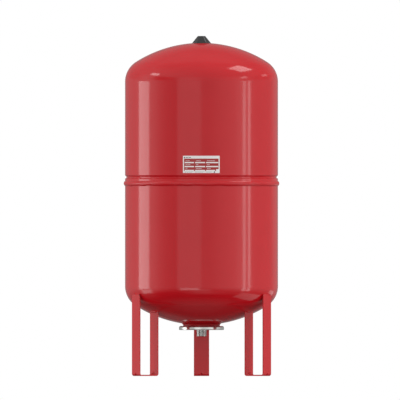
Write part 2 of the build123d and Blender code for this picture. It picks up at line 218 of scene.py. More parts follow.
def cut(piece, tool, operation="DIFFERENCE"):
    """Applies a boolean with another solid, which is used up."""
    modifier = piece.modifiers.new("cut", "BOOLEAN")
    modifier.operation, modifier.solver, modifier.object = operation, "EXACT", tool
    shaped = bpy.data.meshes.new_from_object(piece.evaluated_get(bpy.context.evaluated_depsgraph_get()))
    piece.modifiers.clear()
    piece.data = shaped
    bpy.data.objects.remove(tool)
    return piece


def rod(radius, low_z, high_z, steps):
    """Upright cylinder to cut a hole with."""
    return lathe("rod", [(0, low_z), (radius, low_z), (radius, high_z), (0, high_z)], steps)


def wander(angle, seed, waves):
    """Smooth random value, about -1 to 1, that repeats each turn."""
    reach = waves / TURN
    to_unit = 1.6
    return to_unit * noise.noise(Vector((reach * cos(angle), reach * sin(angle), seed)))


def off_corner(angle):
    """Angle from the nearest corner of a hexagon that has one on X."""
    return (angle + TURN / 12) % (TURN / 6) - TURN / 12


def hexagon(flat, rounding):
    """Shape for lathe that keeps an outline within a six-sided prism with a corner on X."""
    centre = (flat - rounding) / cos(TURN / 12)
    round_until = atan2(rounding / 2, centre + rounding * cos(TURN / 12))

    def radius(off):
        if abs(off) < round_until:
            return centre * cos(off) + sqrt(rounding**2 - (centre * sin(off)) ** 2)
        return flat / cos(TURN / 12 - abs(off))

    return lambda r, z, angle: (np.minimum(r, radius(off_corner(angle))), z)


def hexagon_angles(steps):
    """Angles for lathe that crowd towards the six corners."""
    crowd = np.linspace(-1, 1, 2 * steps, endpoint=False) ** 3
    return np.concatenate([TURN * side / 6 + TURN / 12 * crowd for side in range(6)])


def corner_chamfer(land, corner, face_z, way, shares):
    """Outline of a hexagon's 30 degree chamfer, from its round land to its corners; way is 1 upwards."""
    chamfer = (corner - land) * tan(radians(30))
    return [(land + share * (corner - land), face_z + way * share * chamfer) for share in shares]


def thread(major, pitch, depth, low_z, high_z):
    """Shape for lathe that cuts a right-hand thread with round crests into its major radius."""
    crest_share, flank_share = 0.17, 0.66

    def cut_thread(r, z, angle):
        turn = (z / pitch - angle / TURN) % 1
        flank = np.clip((np.abs(2 * turn - 1) - crest_share) / flank_share, 0, 1)
        run_out = np.clip(np.minimum(z - low_z, high_z - z) / pitch, 0, 1)
        on_thread = np.abs(r - major) < 0.5 * depth
        return r - on_thread * run_out * depth * flank**2 * (3 - 2 * flank), z

    return cut_thread


def fine(low, high, step):
    """Evenly spaced values from low to high, at most a step apart."""
    return np.linspace(low, high, 2 + int(abs(high - low) / step))


# ---- materials
def connect(value, target):
    """Gives an input socket a value, or links an output to it."""
    if isinstance(value, bpy.types.NodeSocket):
        target.id_data.links.new(value, target)
    else:
        target.default_value = value


def set_inputs(node, values):
    """Gives each named input of a node its value or its link."""
    for socket, value in values.items():
        connect(value, node.inputs[socket.replace("_", " ")])
    return node


def add_node(owner, kind, **values):
    """New node of a kind in a material or the world, with its inputs set."""
    return set_inputs(owner.node_tree.nodes.new("ShaderNode" + kind), values)


def new_material(name, **values):
    """Node material with fixed values on its shader's own sockets."""
    material = bpy.data.materials.new(name)
    material.use_nodes = True
    set_inputs(material.node_tree.nodes["Principled BSDF"], values)
    return material


def mix_colours(owner, factor, first, second, blend_type="MIX"):
    """Colour between two colours, which are outputs or four values."""
    mix = add_node(owner, "Mix")
    mix.data_type, mix.blend_type = "RGBA", blend_type
    for index, value in ((0, factor), (6, first), (7, second)):
        connect(value, mix.inputs[index])
    return mix.outputs[2]


def grain(material, size, detail, stretch=(1, 1, 1)):
    """Noise from 0 to 1 whose lumps have a size in metres on the piece."""
    point = add_node(material, "TexCoord").outputs["Object"]
    mapping = add_node(material, "Mapping", Vector=point, Scale=stretch)
    noise_node = add_node(material, "TexNoise", Vector=mapping.outputs[0], Scale=1 / size, Detail=detail)
    return noise_node.outputs["Fac"]


def spread(material, factor, low, high):
    """Maps the middle of a noise, 0.3 to 0.7, to the range from low to high."""
    node = add_node(material, "MapRange", Value=factor)
    for i, value in enumerate((0.3, 0.7, low, high)):
        node.inputs[1 + i].default_value = value
    return node.outputs[0]


def feed(material, output, socket):
    """Feeds a node's output into the shader."""
    connect(output, material.node_tree.nodes["Principled BSDF"].inputs[socket])


def tint(material, factor, low, high):
    """Colours the surface between two colours."""
    feed(material, mix_colours(material, factor, (*low, 1), (*high, 1)), "Base Color")


def emboss(material, *layers):
    """Bump from layers of (height from 0 to 1, depth in metres)."""
    normal = None
    for height, depth in layers:
        bump = add_node(material, "Bump", Strength=1.0, Distance=depth, Height=height)
        if normal is not None:
            connect(normal, bump.inputs["Normal"])
        normal = bump.outputs[0]
    feed(material, normal, "Normal")


coat_reds = (0.555, 0.0050, 0.0105), (0.605, 0.0062, 0.013)


def powder_coat(name, roughness, depth=1.0):
    """Red polyester powder over steel, with its orange peel; a depth below 1 darkens the colour as painted
    shade.
    """
    material = new_material(name, IOR=1.5)
    # depth below 1 scales the colour down: painted shade
    thin, thick = ((depth * red, depth * green, depth * blue) for red, green, blue in coat_reds)
    tint(material, grain(material, 60 * MM, 3), thin, thick)
    feed(material, spread(material, grain(material, 25 * MM, 3), *roughness), "Roughness")
    orange_peel = grain(material, 2.6 * MM, 1), 0.006 * MM
    slow_waves = grain(material, 90 * MM, 1), 0.10 * MM
    emboss(material, orange_peel, slow_waves)
    return material


def metal(name, low, high, roughness, lump, scratch_depth, stretch=(1, 1, 1)):
    """Metal whose colour and gloss vary in lumps of a size, with fine scratches."""
    material = new_material(name, Metallic=1.0)
    tint(material, grain(material, lump, 3), low, high)
    feed(material, spread(material, grain(material, lump / 3, 4), *roughness), "Roughness")
    emboss(material, (grain(material, 0.5 * MM, 2, stretch), scratch_depth))
    return material


def moulded(name, low, high, roughness, texture, depth):
    """Rubber or plastic with a fine moulded surface."""
    material = new_material(name)
    tint(material, grain(material, 8 * MM, 3), low, high)
    feed(material, spread(material, grain(material, 3 * MM, 4), *roughness), "Roughness")
    emboss(material, (grain(material, texture, 2), depth))
    return material


def ink(name, low, high, roughness=(0.22, 0.30)):
    """Print on plastic film."""
    return moulded(name, low, high, roughness, 1.2 * MM, 0.004 * MM)


def grey(level):
    """Colour of no hue."""
    return level, level, level


coat = powder_coat("red_powder_coat", (0.10, 0.13))
# rougher coat for the neck ring and its weld, with its colour darkened by depth 0.72 as painted shade under
# the bottom head
dull_shaded_coat = powder_coat("red_powder_coat_dull_shaded", (0.36, 0.48), depth=0.72)
zinc_colours = (0.62, 0.61, 0.58), (0.74, 0.73, 0.71)
zinc = metal("zinc_plate", *zinc_colours, (0.15, 0.25), 14 * MM, 0.006 * MM, (1, 1, 6))
thread_zinc = metal("thread_zinc", (0.58, 0.58, 0.56), (0.70, 0.70, 0.68), (0.14, 0.24), 6 * MM, 0.004 * MM)
bolt_zinc = metal("fastener_zinc", (0.56, 0.55, 0.50), (0.72, 0.71, 0.68), (0.24, 0.38), 5 * MM, 0.006 * MM)
raw_steel = metal("bare_steel", (0.30, 0.29, 0.28), (0.42, 0.41, 0.40), (0.35, 0.55), 20 * MM, 0.01 * MM)
spring_metal = metal("spring_steel", (0.55, 0.55, 0.54), (0.66, 0.65, 0.64), (0.22, 0.34), 1 * MM, 0.002 * MM)
brass = metal("brass", (0.70, 0.47, 0.19), (0.82, 0.60, 0.28), (0.18, 0.30), 3 * MM, 0.003 * MM)
rubber_colours = (0.016, 0.016, 0.017), (0.026, 0.026, 0.027)
bladder_rubber = moulded("bladder_rubber", *rubber_colours, (0.5, 0.65), 1.5 * MM, 0.03 * MM)
seal_rubber = moulded("seal_rubber", grey(0.012), grey(0.02), (0.5, 0.7), 0.3 * MM, 0.01 * MM)
black_plastic = moulded("black_plastic", grey(0.022), grey(0.030), (0.20, 0.28), 0.7 * MM, 0.012 * MM)
print_white = ink("label_white", (0.91, 0.87, 0.86), (0.96, 0.92, 0.91))
print_red = ink("label_red", (0.39, 0.018, 0.019), (0.43, 0.024, 0.024), (0.20, 0.28))
print_grey = ink("label_grey", grey(0.30), grey(0.38))
print_dark = ink("label_dark", (0.045, 0.040, 0.040), (0.065, 0.060, 0.060))
cap_colours = (0.014, 0.014, 0.015), (0.02, 0.02, 0.021)
cap_plastic = moulded("dust_cap_plastic", *cap_colours, (0.34, 0.44), 0.4 * MM, 0.006 * MM)


def finish(piece, slot, material, *nodes):
    """Gives a new piece its material and hides the CAD nodes that it stands for."""
    piece.data.materials.append(material)
    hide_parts(*nodes)
    return piece


def place(piece, slot, material, node, body="vessel"):
    """Finishes a piece that rides on one body."""
    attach(finish(piece, slot, material, node), body)


def coated(piece, node, material=coat):
    """Finishes a red piece of the vessel."""
    place(piece, "red_powder_coat", material, node)


# ---- shells and girth seam
def make_top_shell():
    """Upper head and half of the cylinder, with a rolled groove above the seam and a hole for the boss."""
    groove_z = seam_z + 20.7 * MM
    groove_top, groove_bottom = groove_z + 6.1 * MM, groove_z - 4.8 * MM
    floor_top, floor_bottom = groove_z + 0.7 * MM, groove_z - 2.2 * MM
    depth, bend = 4.6 * MM, 0.8 * MM

    def side(inset):
        r = shell_radius - inset
        groove = rounded([
            (r, top_tangent_z - 2 * MM, 0),
            (r, groove_top + 5 * MM, 0),
            (r, groove_top, 2 * bend),
            (r - depth, floor_top, bend),
            (r - depth, floor_bottom, bend),
            (r, groove_bottom, bend),
            (r, top_shell_low.z, 0),
        ], steps=10)
        return head_outline(top_crown_z, top_tangent_z, inset, boss_radius) + groove

    return lathe("top_shell", side(0) + side(shell_wall)[::-1], 256)


def make_bottom_shell():
    """Lower head and half of the cylinder, with a hole for the neck."""

    def side(inset):
        r = shell_radius - inset
        head = head_outline(bottom_crown_z, bottom_tangent_z, inset, neck_radius)
        heights = bottom_tangent_z + 2 * MM, bottom_shell_high.z - 2 * MM, bottom_shell_high.z
        return head + [(r, z) for z in heights]

    return lathe("bottom_shell", side(0) + side(shell_wall)[::-1], 256)


def make_girth_bead():
    """Girth weld: a flat round bead with crescent ripples, whose edges wander a little."""
    ripples = 262
    ripple_depth = 0.35 * MM
    sunk = 0.3 * MM
    wobble, bow = 0.7, 2.4
    below_box = 0.1 * MM
    height = seam_high.x - shell_radius - below_box
    across = np.linspace(-1, 1, 17)
    root = [shell_radius - shell_wall] * 2

    def shape(r, z, angle):
        half_width = (seam_high.z - seam_low.z) / 2 - (wobble + wobble * wander(angle, 3.0, 60)) * MM
        shift = wobble * MM * wander(angle, 7.0, 45)
        ripple = 0.5 + 0.5 * np.cos(ripples * angle + bow * across**2)
        crown = shell_radius - sunk + (height + sunk - ripple_depth * ripple) * (1 - across**2) ** 0.75
        face_z = seam_z + shift + half_width * across
        root_z = [seam_z + buried, seam_z - buried]
        return np.concatenate([crown, root]), np.concatenate([face_z, root_z])

    outline = [(shell_radius, seam_z)] * (len(across) + len(root))
    return lathe("girth_bead", outline, 2096, shape, sharp_angle=60)


coated(make_top_shell(), "upper_shell")
coated(make_bottom_shell(), "lower_shell")
coated(make_girth_bead(), "seam_weld")

# ---- neck ring, counter flange and threaded stub
bolt_count = 6
bolt_start = TURN / 12
bolt_radius = 4.0 * MM
bolt_hole_radius = 4.5 * MM
washer_radius = 8.0 * MM
bolt_circle = washer_high.y - washer_radius
plate_bottom_z = washer_high.z
stub_radius = stub_high.x
stub_bore = 13.5 * MM
stub_relief = 15.7 * MM
pipe_pitch = INCH / 11
collar_radius = 45.0 * MM
collar_height = 4.0 * MM


def drill(piece, radius, low_z, high_z):
    """Drills the circle of bolt holes."""
    return cut(piece, repeat_round(rod(radius, low_z, high_z, 32), bolt_count, bolt_circle, bolt_start))


def make_neck():
    """Ring welded into the bottom head, with a recess for the bladder's collar and tapped holes."""
    bore = 37.0 * MM
    tapped_depth = 21 * MM
    outline = rounded([
        (bore, neck_high.z, 0),
        (bore, neck_low.z + collar_height, 0.5 * MM),
        (collar_radius, neck_low.z + collar_height, 0),
        (collar_radius, neck_low.z, 0.4 * MM),
        (neck_radius, neck_low.z, 0.8 * MM),
        (neck_radius, neck_high.z, 0),
    ])
    return drill(lathe("neck", outline, 160), bolt_radius, neck_low.z - MM, neck_low.z + tapped_depth)


def round_bead(name, radius, surface, leg, way, ripple_pitch, hollow=1.2):
    """Rippled fillet weld between a round part and a surface(r); way is 1 under the surface."""
    across = np.linspace(0, 1, 11)
    ripples = round(TURN * radius / ripple_pitch)
    outline = [(radius, surface(radius))] * (len(across) + 3)

    def shape(r, z, angle):
        reach = leg * (0.90 + 0.10 * wander(angle, 2.0, 9))
        ripple = 0.03 * np.sin(ripples * angle + 2.0 * across) * np.sin(pi * across)
        face_r = radius + reach * ((1 - across) ** hollow + ripple)
        face_z = np.array([surface(out) for out in face_r]) - way * reach * (across**hollow + ripple)
        root_r = [radius - buried, radius - buried, radius + reach]
        root_z = [face_z[-1], surface(radius) + way * buried, surface(radius + reach) + way * buried]
        return np.concatenate([face_r, root_r]), np.concatenate([face_z, root_z])

    return lathe(name, outline, 8 * ripples, shape, sharp_angle=50)


def make_flange():
    """Pressed counter flange: a dish with a turned-down rim and a rolled edge."""
    rim_inner = flange_high.x - 3.0 * MM
    outline = rounded([
        (stub_relief, flange_high.z, 0),
        (flange_high.x, flange_high.z, 5.5 * MM),
        (flange_high.x, flange_low.z, 2.6 * MM),
        (rim_inner, flange_low.z, 0.3 * MM),
        (rim_inner, plate_bottom_z, 2.5 * MM),
        (stub_relief, plate_bottom_z, 0),
    ], steps=6)
    flange = lathe("counter_flange", outline, 192)
    return drill(flange, bolt_hole_radius, plate_bottom_z - MM, flange_high.z + MM)


def make_stub():
    """Pipe stub with a G1 thread, a plain neck above it and a chamfered end."""
    thread_top = stub_low.z + 22.0 * MM
    chamfer, bore_chamfer = 1.2 * MM, 0.6 * MM
    outline = [(stub_bore, stub_high.z), (stub_relief, stub_high.z), (stub_relief, thread_top)]
    outline += [(stub_radius, z) for z in fine(thread_top, stub_low.z + chamfer, pipe_pitch / 14)]
    outline += [(stub_radius - chamfer, stub_low.z), (stub_bore + bore_chamfer, stub_low.z)]
    outline += [(stub_bore, stub_low.z + bore_chamfer)]
    cut_thread = thread(stub_radius, pipe_pitch, 0.64 * pipe_pitch, stub_low.z, thread_top - 2 * MM)
    return lathe("threaded_stub", outline, 96, cut_thread, sharp_angle=50)


def make_bolts():
    """Hexagon bolts up through the flange, each head turned a little differently."""
    head_flat = 6.5 * MM
    head_corner = head_flat / cos(TURN / 12)
    land = 0.94 * head_flat
    head_top = washer_low.z
    head_low = bolt_low.z
    dish_z = head_low + 0.25 * MM
    outline = [(0, dish_z), (3.4 * MM, dish_z), (3.8 * MM, head_low), (land, head_low)]
    outline += corner_chamfer(land, head_corner, head_low, 1, np.linspace(0.1, 1, 10))
    outline += [(head_corner, head_top), (bolt_radius, head_top), (bolt_radius, bolt_high.z - MM)]
    outline += [(bolt_radius - MM, bolt_high.z), (0, bolt_high.z)]
    bolt = lathe("hexagon_bolts", outline, hexagon_angles(6), hexagon(head_flat, 0.2 * MM))
    return repeat_round(bolt, bolt_count, bolt_circle, bolt_start, twist=0.9)


def make_washers():
    """Plain punched washers, rounder at their lower edges."""
    bore = 4.2 * MM
    edge = 0.25 * MM
    outline = rounded([
        (bore, washer_high.z, edge),
        (washer_radius, washer_high.z, edge),
        (washer_radius, washer_low.z, 2 * edge),
        (bore, washer_low.z, 2 * edge),
    ])
    return repeat_round(lathe("plain_washers", outline, 64), bolt_count, bolt_circle, bolt_start)


# neck ring and neck weld take the dull coat, darker by painted shade
coated(make_neck(), "neck_ring", dull_shaded_coat)
neck_bead = round_bead(
    "neck_bead", neck_radius, lambda r: dome_z(bottom_crown_z, r), 5.5 * MM, 1, 3.2 * MM, hollow=1.5
)
coated(neck_bead, "neck_weld", dull_shaded_coat)
place(make_flange(), "zinc_plate", zinc, "flange")
place(make_stub(), "zinc_plate", thread_zinc, "connection_stub")
stub_bead = round_bead("stub_bead", stub_relief, lambda r: plate_bottom_z, 3.5 * MM, 1, 2.4 * MM)
place(stub_bead, "zinc_plate", zinc, "stub_weld")
place(make_bolts(), "fastener_zinc", bolt_zinc, "flange_bolts")
place(make_washers(), "fastener_zinc", bolt_zinc, "flange_washers")

# ---- legs, each made along +X and then turned
bar_half_width = rear_leg_high.x
bar_thickness = 4.0 * MM
leg_inner = rear_leg_low.y
leg_outer = rear_leg_high.y
leg_top_z = rear_leg_high.z
leg_bend = 8.0 * MM
leg_top_corner = 6.0 * MM
dart_height = 11.0 * MM
anchor_hole = 6.5 * MM
leg_angles = {"rear": 90, "front_left": 210, "front_right": 330}


def bar_section():
    """Loop round the flat bar's section: (depth below the outer face, place across the width)."""
    edge = 0.35 * MM
    near_dart = fine(0, 9 * MM, 0.6 * MM)
    beyond = fine(9 * MM, bar_half_width - leg_top_corner - edge, 3 * MM)[1:]
    at_corner = bar_half_width - edge - leg_top_corner * (1 - np.sin(np.linspace(0, TURN / 4, 9)))[1:]
    half = np.concatenate([near_dart, beyond, at_corner])
    face = np.concatenate([-half[:0:-1], half])
    turn = np.linspace(0, TURN / 4, 5)[1:-1]
    rim = bar_half_width - edge
    way_there = [(0, y) for y in face]
    way_there += [(edge - edge * cos(a), rim + edge * sin(a)) for a in turn]
    way_there += [(edge, bar_half_width), (bar_thickness - edge, bar_half_width)]
    way_there += [(bar_thickness - edge + edge * sin(a), rim + edge * cos(a)) for a in turn]
    return np.concatenate([way_there, [bar_thickness, 0] - np.array(way_there)])


def press_dart(x, y, z, depth, corner_x, outward):
    """Presses a dart's rounded V into a lower corner of the bar and raises its rib inside."""
    root_radius, raised = MM, 0.4 * MM
    soft, reach = 0.8 * MM, 6 * MM
    slope = np.array([outward, -1.0]) / sqrt(2)
    valley = np.array([corner_x, 0]) - slope * dart_height / sqrt(2)
    stands_out = (x - valley[0]) * slope[0] + (z - valley[1]) * slope[1]
    limit = np.sqrt(y**2 + root_radius**2) - raised - depth * sqrt(2)
    over = stands_out - limit
    pressed = (over + np.sqrt(over**2 + soft**2)) / 2 * (over > -reach)
    return x - pressed * slope[0], z - pressed * slope[1]


def make_leg(name, about_z):
    """Flat bar bent into a U: a dart in each bend, a floor bolt hole, the inner end cut to the dome."""
    depth, y = bar_section().T
    rounding = np.clip(np.abs(y) - (bar_half_width - leg_top_corner), 0, leg_top_corner)
    outer_end = leg_top_z - (leg_top_corner - np.sqrt(leg_top_corner**2 - rounding**2))
    inner_end = bottom_crown_z - np.sqrt(crown_radius**2 - (leg_inner + depth) ** 2 - y**2) + buried
    straight = 14 * MM
    rows = []

    def add_row(x, z):
        for corner_x, outward in ((leg_outer, 1), (leg_inner, -1)):
            x, z = press_dart(x, y, z, depth, corner_x, outward)
        rows.append(np.stack([x, y, z], -1))

    def climb(x, end_z, down):
        heights = np.concatenate([fine(leg_bend, straight, 0.7 * MM)[:-1], [straight]])
        places = [np.full_like(y, height) for height in heights]
        places += [straight + (end_z - straight) * share for share in np.linspace(0, 1, 12)[1:]]
        for z in places[::-1] if down else places:
            add_row(x, z)

    def bend(centre_x, angles):
        reach = leg_bend - depth
        for angle in angles:
            add_row(centre_x + reach * cos(angle), leg_bend + reach * sin(angle))

    climb(leg_inner + depth, inner_end, down=True)
    quarter = np.linspace(0, TURN / 4, 22)
    bend(leg_inner + leg_bend, TURN / 2 + quarter[1:])
    for x in fine(leg_inner + leg_bend, leg_outer - leg_bend, 0.8 * MM)[1:-1]:
        add_row(np.full_like(y, x), depth)
    bend(leg_outer - leg_bend, 3 * TURN / 4 + quarter[:-1])
    climb(leg_outer - depth, outer_end, down=False)
    leg = skin(name, rows, sharp_angle=42)
    hole = rod(anchor_hole, -MM, 3 * bar_thickness, 48)
    hole.data.transform(Matrix.Translation(((leg_inner + leg_outer) / 2, 0, 0)))
    cut(leg, hole)
    leg.data.transform(Matrix.Rotation(radians(about_z), 4, "Z"))
    return leg


def straight_bead(x, z, seed):
    """Rippled bead across the bar, at x(y) and z(y)."""
    half_length, radius = 19.0 * MM, 3.3 * MM
    ripple_pitch, lump = 3.0 * MM, 7 * MM
    ring = np.linspace(0, TURN, 20, endpoint=False)
    lag = 0.8 * MM * np.cos(ring)
    rows = []
    for y in np.linspace(-half_length, half_length, 96):
        taper = sqrt(max(1 - (y / half_length) ** 8, 0.02))
        uneven = 0.05 * noise.noise(Vector((y / lump, seed, 0)))
        ripple = 1 + 0.045 * sin(TURN * y / ripple_pitch) + uneven
        size = radius * taper * min(ripple, 1.06)
        rows.append(np.stack([x(y) + size * np.cos(ring), y + lag, z(y) + size * np.sin(ring)], -1))
    return skin("bead", rows, sharp_angle=60)


def make_leg_beads():
    """Welds along the top of each outer limb and both faces of each inner limb."""
    outer_bead_x = leg_outer - 3.7 * MM
    beads = [straight_bead(lambda y: outer_bead_x, lambda y: leg_top_z, 0.0)]
    for seed, r in ((1.0, leg_inner), (2.0, leg_inner + bar_thickness)):
        beads.append(straight_bead(lambda y: r, lambda y: dome_z(bottom_crown_z, hypot(r, y)), seed))
    turns = [Matrix.Rotation(radians(angle), 4, "Z") for angle in leg_angles.values()]
    return gather("leg_beads", [(bead, turn, 0) for turn in turns for bead in beads], 60)


for where, angle in leg_angles.items():
    coated(make_leg(where + "_leg", angle), "leg_" + where)
coated(make_leg_beads(), "leg_welds")

# ---- valve boss and charging valve
stem_radius = 3.85 * MM
spigot_radius = 4.86 * MM
recess_radius = 9.0 * MM
recess_z = boss_high.z - 3.5 * MM
valve_pitch = INCH / 32


def make_boss():
    """Round boss in the crown, with a recess that holds the valve's hexagon."""
    outline = rounded([
        (spigot_radius, boss_low.z, 0),
        (spigot_radius, recess_z, 0),
        (recess_radius, recess_z, 0.4 * MM),
        (recess_radius, boss_high.z, 0.4 * MM),
        (boss_radius, boss_high.z, 0.9 * MM),
        (boss_radius, boss_low.z, 0),
    ])
    return lathe("boss", outline, 96)


def make_stem():
    """Charging valve body: hexagon, threaded neck, bore for the valve core."""
    hex_flat = 7.0 * MM
    hex_low = recess_z + MM
    hex_corner = hex_flat / cos(TURN / 12)
    land = 0.92 * hex_flat
    core_bore, air_passage = 2.6 * MM, 1.8 * MM
    core_seat_z = stem_high.z - 17.0 * MM
    edge, bore_edge = 0.45 * MM, 0.2 * MM
    outline = [(air_passage, stem_low.z), (spigot_radius - edge, stem_low.z)]
    outline += [(spigot_radius, stem_low.z + edge), (spigot_radius, hex_low), (hex_corner, hex_low)]
    outline += corner_chamfer(land, hex_corner, boss_high.z, -1, np.linspace(1, 0, 10))
    thread_low = boss_high.z + 0.6 * MM
    outline += [(stem_radius, boss_high.z)]
    outline += [(stem_radius, z) for z in fine(thread_low, stem_high.z - edge, valve_pitch / 10)]
    outline += [(stem_radius - edge, stem_high.z), (core_bore + bore_edge, stem_high.z)]
    outline += [(core_bore, stem_high.z - bore_edge), (core_bore, core_seat_z + MM)]
    outline += [(air_passage, core_seat_z)]
    keep_hexagon = hexagon(hex_flat, 0.3 * MM)
    cut_thread = thread(stem_radius, valve_pitch, 0.6 * valve_pitch, thread_low, stem_high.z)

    def shape(r, z, angle):
        return keep_hexagon(*cut_thread(r, z, angle), angle)

    return lathe("charging_valve", outline, hexagon_angles(10), shape, sharp_angle=50)


def make_pin():
    """Valve core's pin: domed tip, spring collar and poppet."""
    pin_radius, collar_radius, poppet_radius = 0.6 * MM, 1.6 * MM, 2.0 * MM
    collar_low, collar_high = spring_high.z, spring_high.z + 0.7 * MM
    poppet_top = pin_low.z + 1.2 * MM
    edge = 0.15 * MM
    outline = rounded([
        (0, pin_low.z, 0),
        (poppet_radius, pin_low.z, edge),
        (poppet_radius, poppet_top, edge),
        (pin_radius, poppet_top, 0),
        (pin_radius, collar_low, 0),
        (collar_radius, collar_low, edge),
        (collar_radius, collar_high, edge),
        (pin_radius, collar_high, 0),
        (pin_radius, pin_high.z, 0.35 * MM),
        (0, pin_high.z, 0),
    ])
    return lathe("core_pin", outline, 48)


def make_spring():
    """Coil spring of the valve core, between the barrel's floor and the pin's collar."""
    wire, turns = 0.2 * MM, 6
    radius = spring_high.x - wire
    ring = np.linspace(0, TURN, 12, endpoint=False)
    rows = []
    for angle in np.linspace(0, TURN * turns, 32 * turns):
        outward = np.array([cos(angle), sin(angle), 0])
        centre = radius * outward
        centre[2] = spring_low.z + wire + (spring_high.z - spring_low.z - 2 * wire) * angle / (TURN * turns)
        rows.append(centre + wire * (np.outer(np.cos(ring), outward) + np.outer(np.sin(ring), (0, 0, 1))))
    return skin("core_coil", rows)


def make_knurled_cap():
    """Dust cap with fine grip ribs, a plain base band and a shallow dish on top."""
    ribs, rib_depth = 36, 0.22 * MM
    bore = 3.9 * MM
    ceiling = dust_high.z - 1.2 * MM
    dish_z = dust_high.z - 0.3 * MM
    radius = dust_high.x
    band = 1.2 * MM
    outline = rounded([
        (0, dish_z, 0),
        (3.2 * MM, dish_z, 0),
        (3.6 * MM, dust_high.z, 0.1 * MM),
        (radius, dust_high.z, 0.8 * MM),
        (radius, dust_low.z + band + 0.3 * MM, 0),
        (radius - 0.1 * MM, dust_low.z + band, 0),
        (radius - 0.1 * MM, dust_low.z, 0.2 * MM),
        (bore, dust_low.z, 0.2 * MM),
        (bore, ceiling, 0),
        (0, ceiling, 0),
    ])

    def shape(r, z, angle):
        side = (r > radius - 0.35 * MM) & (z > dust_low.z + band + 0.1 * MM)
        return r - side * rib_depth * sin(ribs * angle / 2) ** 2, z

    return lathe("knurled_cap", outline, 12 * ribs, shape, sharp_angle=50)


coated(make_boss(), "valve_boss")
boss_bead = round_bead("boss_bead", boss_radius, lambda r: dome_z(top_crown_z, r), 1.7 * MM, -1, 1.8 * MM)
coated(boss_bead, "boss_weld")
place(make_stem(), "brass", brass, "valve_stem")
place(make_pin(), "brass", brass, "valve_pin", "valve_pin")
place(make_knurled_cap(), "dust_cap_plastic", cap_plastic, "dust_cap", "dust_cap")

core_coil = finish(make_spring(), "spring_steel", spring_metal, "core_spring")
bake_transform(core_coil)

# ---- protective cap
def make_hood():
    """Hollow six-sided cap that follows the dome, with a collar inside that grips the boss."""
    base_corner, top_corner = 32.4 * MM, 12.9 * MM
    base_z, top_z = 1087.6 * MM, hood_high.z
    wall, gap_to_dome = 1.6 * MM, 0.3 * MM
    rounding, edge = 5.5 * MM, 0.5 * MM
    corner_cut = 0.155 * rounding
    collar_inner, collar_outer = 12.05 * MM, 13.65 * MM
    collar_low, collar_high = 1091.2 * MM, 1107.5 * MM
    slope = (base_corner - top_corner) / (top_z - base_z)
    square = cos(TURN / 12)
    level_wall = wall * sqrt(1 + (slope * square) ** 2)
    ceiling = top_z - wall

    def flat(z):
        return (top_corner + slope * (top_z - z)) * square

    top = rounded([(0, top_z, 0), (flat(top_z), top_z, edge), (flat(base_z), base_z, 0)], 6)
    side = fine(top[-2][1], base_z, 1.5 * MM)[1:]
    outline = top[:-1] + [(flat(z), z) for z in side]
    outline += [(flat(z) - level_wall, z) for z in side[::-1] if z < ceiling]
    outline += [(flat(ceiling) - level_wall, ceiling), (0, ceiling)]

    def shape(r, z, angle):
        straight = 1 / cos(TURN / 12 - abs(off_corner(angle)))
        blunt = np.minimum(straight, 1 / square - corner_cut / np.maximum(r, rounding))
        corner_r = r * np.where(r > 2 * rounding, blunt, 1)
        lip = top_crown_z + np.sqrt((crown_radius + gap_to_dome) ** 2 - corner_r**2)
        return corner_r, np.maximum(z, lip)

    hood = lathe("protective_hood", outline, hexagon_angles(9), shape, sharp_angle=25)
    collar = rounded([
        (collar_inner, collar_low, 0.4 * MM),
        (collar_outer, collar_low, 0.2 * MM),
        (collar_outer, collar_high, 0),
        (collar_inner, collar_high, 0),
    ])
    return cut(hood, lathe("collar", collar, 96), "UNION")


place(make_hood(), "black_plastic", black_plastic, "protective_cap", "protective_cap")

# ---- bladder, one skin over its three CAD nodes
def make_bladder():
    """Rubber bladder: collar, narrow neck, round base, straight wall and round crown."""
    radius, thickness = bladder_wall_high.x, 2.5 * MM
    neck_r, neck_bend = 36.5 * MM, 3.0 * MM
    base_z, crown_z = bladder_wall_low.z, bladder_wall_high.z
    bend_r = neck_r + neck_bend
    round_radius = radius - bend_r
    neck_bend_z = base_z - round_radius - neck_bend
    quarter = np.linspace(0, TURN / 4, 28)

    def side(inset):
        neck, dome = neck_bend + inset, round_radius - inset
        curve = [(neck_r - inset, bladder_neck_low.z)]
        neck_turn = np.linspace(0, TURN / 4, 9)
        curve += [(bend_r - neck * cos(a), neck_bend_z + neck * sin(a)) for a in neck_turn]
        curve += [(bend_r + dome * sin(a), base_z - dome * cos(a)) for a in quarter[1:]]
        curve += [(radius - inset, z) for z in fine(base_z, crown_z, 8 * MM)[1:-1]]
        curve += [(bend_r + dome * cos(a), crown_z + dome * sin(a)) for a in quarter]
        return curve + [(0, crown_z + round_radius - inset)]

    collar_top = bladder_neck_low.z + collar_height
    outline = [(collar_radius, bladder_neck_low.z), (collar_radius, collar_top)]
    outline += [(neck_r, collar_top)] + side(0)[1:] + side(thickness)[::-1]
    return lathe("bladder_skin", outline, 128)


bladder_nodes = "bladder_neck", "bladder_wall", "bladder_crown"
bladder_skin = finish(make_bladder(), "bladder_rubber", bladder_rubber, *bladder_nodes)
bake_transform(bladder_skin)

# ---- type label, with nothing on it to read
label_width = 121.4 * MM
label_height = 56.4 * MM
label_middle = Vector((-0.7 * MM, 0, (label_low.z + label_high.z) / 2 + 1.0 * MM))
label_film_radius = shell_radius + 0.10 * MM


